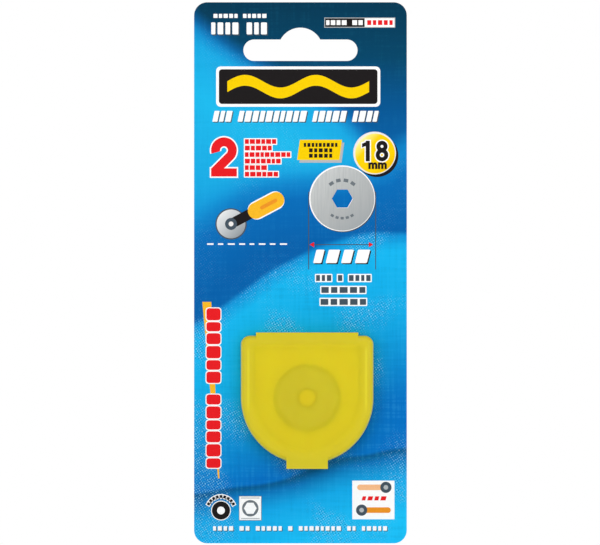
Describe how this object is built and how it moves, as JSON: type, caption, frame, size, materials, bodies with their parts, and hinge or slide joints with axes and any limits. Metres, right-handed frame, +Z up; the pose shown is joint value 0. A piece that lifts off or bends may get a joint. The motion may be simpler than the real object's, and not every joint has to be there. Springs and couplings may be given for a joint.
{
  "type": "carded rotary cutter blade case",
  "caption": "Printed hanging card that carries a hinged translucent case with round cutting blades on a post.",
  "frame": {"origin": "top of the hang slot's hump, half way through the card's thickness", "axes": "+Z up along the card, +X to the right seen from the front, and the printed front faces -Y"},
  "size_m": [0.057, 0.0053, 0.145],
  "materials": {
    "printed_card": "printed and coated on the front",
    "adhesive": "tacky, hidden",
    "case_plastic": "translucent, satin",
    "blade_steel": "polished faces, ground edge"
  },
  "bodies": {
    "pack": {"card": "printed_card", "adhesive_pad": "adhesive", "case_base": "case_plastic", "living_hinge": "case_plastic", "rear_blade": "blade_steel", "front_blade": "blade_steel"},
    "lid": {"case_lid": "case_plastic"}
  },
  "joints": [
    {"name": "lid_hinge", "type": "hinge", "parent": "pack", "child": "lid", "pos_m": [0.0018, -0.0031, -0.08167], "axis": [-1, 0, 0], "range_deg": [0, 180], "deforming": ["living_hinge"]}
  ]
}
